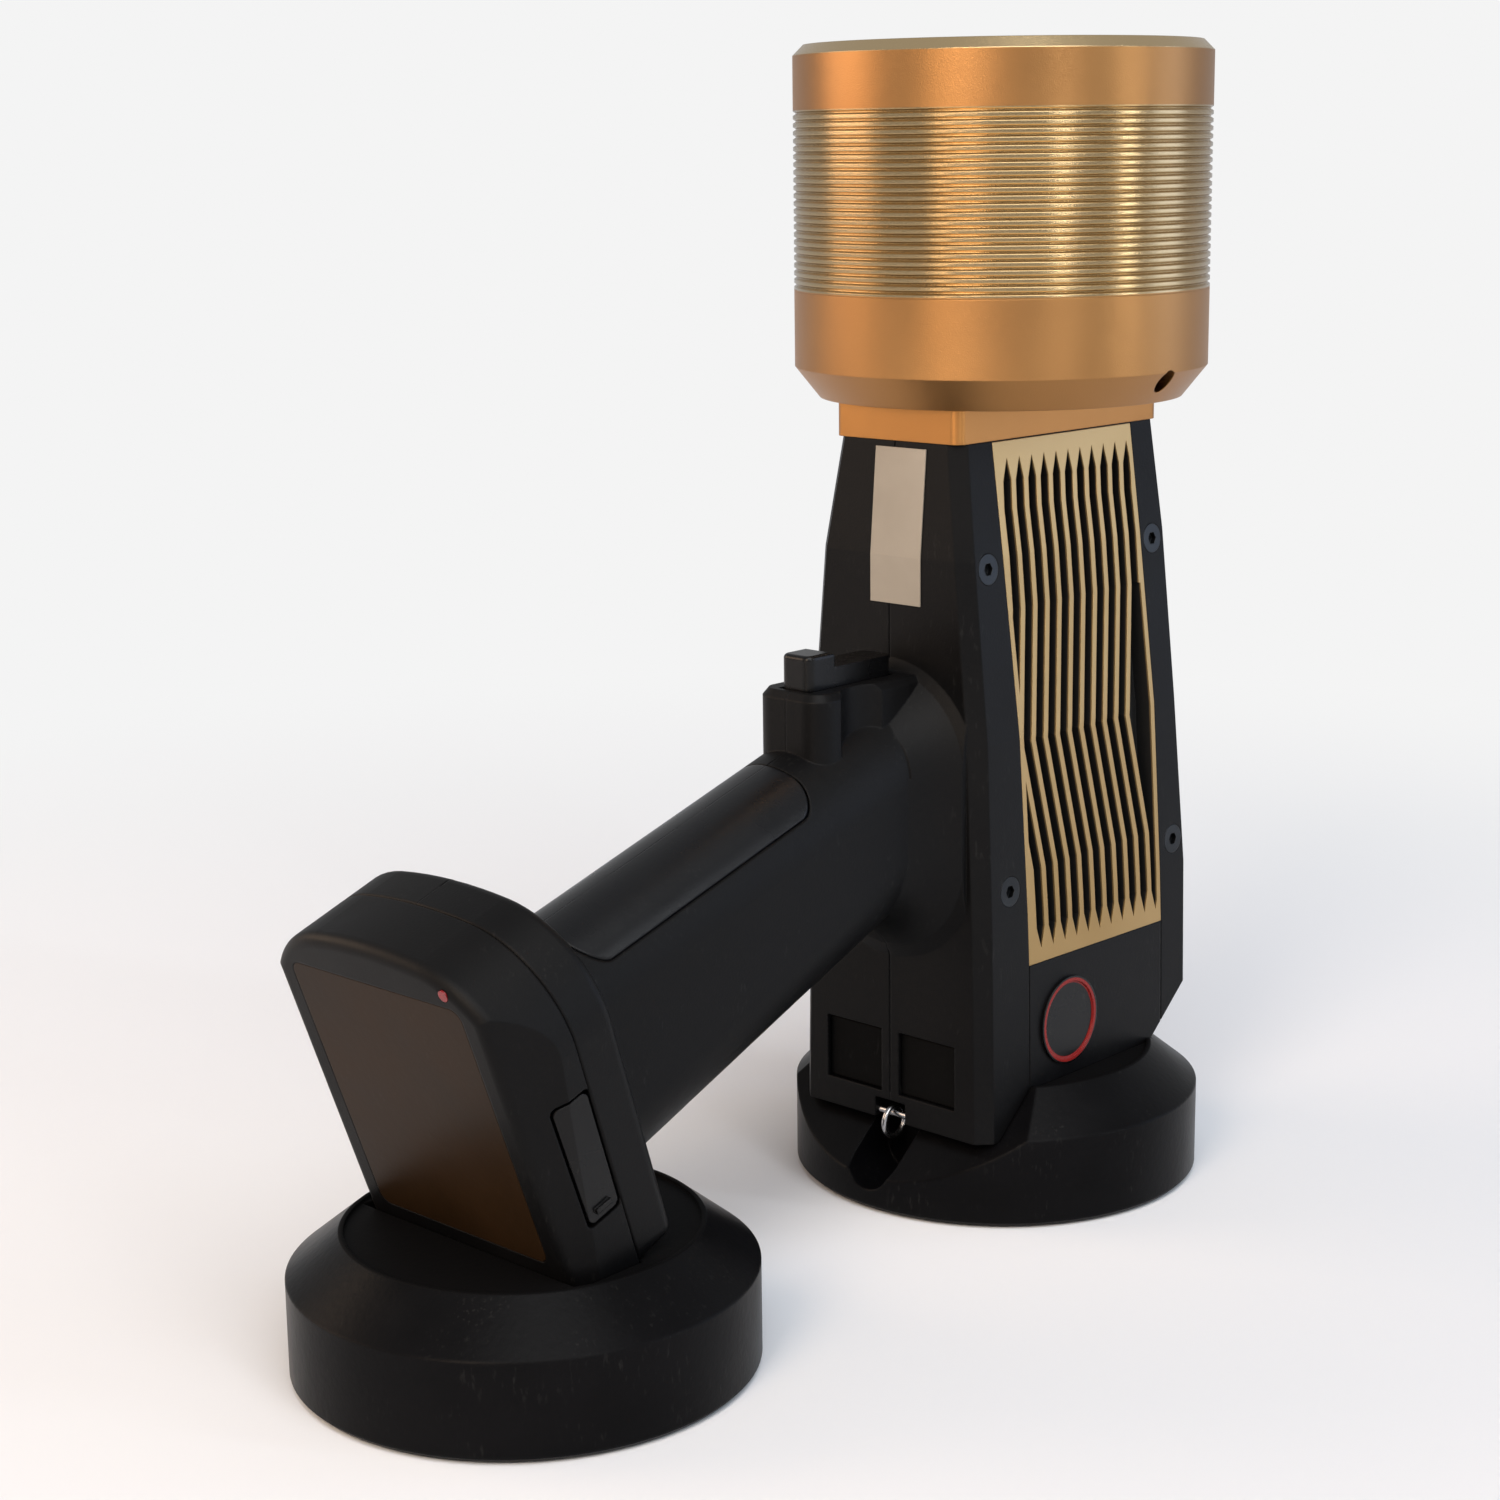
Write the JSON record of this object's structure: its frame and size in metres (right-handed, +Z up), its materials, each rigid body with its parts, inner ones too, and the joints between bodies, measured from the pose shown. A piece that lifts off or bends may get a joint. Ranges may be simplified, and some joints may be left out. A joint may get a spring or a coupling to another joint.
{
  "type": "handheld xrf analyzer",
  "caption": "Handheld XRF analyzer standing nose up in cup feet: finned barrel, angled pistol grip with trigger, battery pack, and a round X-ray shield on the nose.",
  "frame": {"origin": "on the floor, on the barrel and shield axis, in the plane where the two shells meet", "axes": "+Z up, the nose and shield; -X the grip and battery side; +X the display side; -Y the left side of the analyzer as it is held"},
  "size_m": [0.2467, 0.095, 0.2596],
  "materials": {
    "black_shell": "fine moulded texture, satin black",
    "black_pad": "smooth semi-gloss black",
    "gold_anodised": "bead-blasted and anodised tan gold",
    "black_foot": "soft satin black",
    "foot_rubber": "matt black rubber",
    "dark_gloss": "glossy dark brown-black film",
    "black_plastic": "smooth black",
    "steel": "bright steel",
    "dark_steel": "black oxide",
    "spring_steel": "drawn wire",
    "glass": "clear over black",
    "screen": "dark panel",
    "white_plate": "white satin film",
    "badge_red": "red ring on black",
    "red_light": "red lens",
    "board_green": "solder mask",
    "cell_wrap": "shrink wrap",
    "brass": "plated contacts",
    "film": "amber polyimide film"
  },
  "bodies": {
    "housing": {"left_shell": "black_shell", "right_shell": "black_shell", "nose_block": "gold_anodised", "left_heat_sink": "gold_anodised", "right_heat_sink": "gold_anodised", "shell_screws": "dark_steel", "left_grip_pad": "black_pad", "right_grip_pad": "black_pad", "trigger_spring": "spring_steel", "trigger_switch": "black_plastic", "pack_case": "black_shell", "pack_inner_plate": "black_plastic", "battery_cells": "cell_wrap", "pack_label": "dark_gloss", "charge_light": "red_light", "left_latch_spring": "spring_steel", "right_latch_spring": "spring_steel", "dock_contacts": "brass", "display_bezel": "black_plastic", "display_glass": "glass", "display_panel": "screen", "button_board": "board_green", "port_sockets": "steel", "lanyard_pin": "steel", "id_plate": "white_plate", "left_badge": "badge_red", "right_badge": "badge_red", "xray_tube": "steel", "high_voltage_supply": "black_plastic", "detector": "steel", "filter_motor": "steel", "nose_camera": "black_plastic", "face_plate": "steel", "window_ring": "film", "face_plate_screws": "steel", "chassis_plate": "steel", "processor_board": "board_green", "power_board": "board_green", "speaker": "black_plastic", "shield_base": "gold_anodised", "shield_set_screw": "dark_steel", "barrel_foot": "black_foot", "battery_foot": "black_foot", "barrel_foot_pad": "foot_rubber", "battery_foot_pad": "foot_rubber"},
    "trigger": {"trigger": "black_pad"},
    "left_latch": {"left_pack_latch": "black_plastic"},
    "right_latch": {"right_pack_latch": "black_plastic"},
    "cover": {"shield_cover": "gold_anodised"},
    "power_key": {"power_button": "black_pad"},
    "home_key": {"home_button": "black_pad"},
    "back_key": {"back_button": "black_pad"},
    "power_door": {"power_port_cover": "black_pad"},
    "data_door": {"data_port_cover": "black_pad"},
    "ring": {"lanyard_ring": "steel"},
    "wheel": {"filter_wheel": "brass"}
  },
  "joints": [
    {"name": "trigger_pull", "type": "slide", "parent": "housing", "child": "trigger", "axis": [0, 0, -1], "range_m": [0, 0.0032], "stiffness_N_per_m": 500, "springref_m": -0.003, "deforming": ["trigger_spring"]},
    {"name": "left_latch_press", "type": "slide", "parent": "housing", "child": "left_latch", "axis": [0, 1, 0], "range_m": [0, 0.0015], "stiffness_N_per_m": 900, "springref_m": -0.002, "deforming": ["left_latch_spring"]},
    {"name": "right_latch_press", "type": "slide", "parent": "housing", "child": "right_latch", "axis": [0, -1, 0], "range_m": [0, 0.0015], "stiffness_N_per_m": 900, "springref_m": -0.002, "deforming": ["right_latch_spring"]},
    {"name": "shield_cover_lift", "type": "slide", "parent": "housing", "child": "cover", "axis": [0, 0, 1], "range_m": [0, 0.06]},
    {"name": "power_press", "type": "slide", "parent": "housing", "child": "power_key", "axis": [-1, 0, 0], "range_m": [0, 0.0007], "stiffness_N_per_m": 900, "springref_m": -0.001},
    {"name": "home_press", "type": "slide", "parent": "housing", "child": "home_key", "axis": [-1, 0, 0], "range_m": [0, 0.0007], "stiffness_N_per_m": 900, "springref_m": -0.001},
    {"name": "back_press", "type": "slide", "parent": "housing", "child": "back_key", "axis": [-1, 0, 0], "range_m": [0, 0.0007], "stiffness_N_per_m": 900, "springref_m": -0.001},
    {"name": "power_door_swing", "type": "hinge", "parent": "housing", "child": "power_door", "pos_m": [-0.0372, -0.0107, 0.0398], "axis": [0, 1, 0], "range_deg": [0, 88]},
    {"name": "data_door_swing", "type": "hinge", "parent": "housing", "child": "data_door", "pos_m": [-0.0372, 0.0107, 0.0398], "axis": [0, 1, 0], "range_deg": [0, 88]},
    {"name": "lanyard_ring_swing", "type": "hinge", "parent": "housing", "child": "ring", "pos_m": [-0.0372, 0, 0.0206], "axis": [0, 1, 0], "range_deg": [-12, 45]},
    {"name": "filter_wheel_turn", "type": "hinge", "parent": "housing", "child": "wheel", "pos_m": [-0.01538, 0, 0.18717], "axis": [-0.3746, 0, -0.9272], "continuous": true}
  ]
}
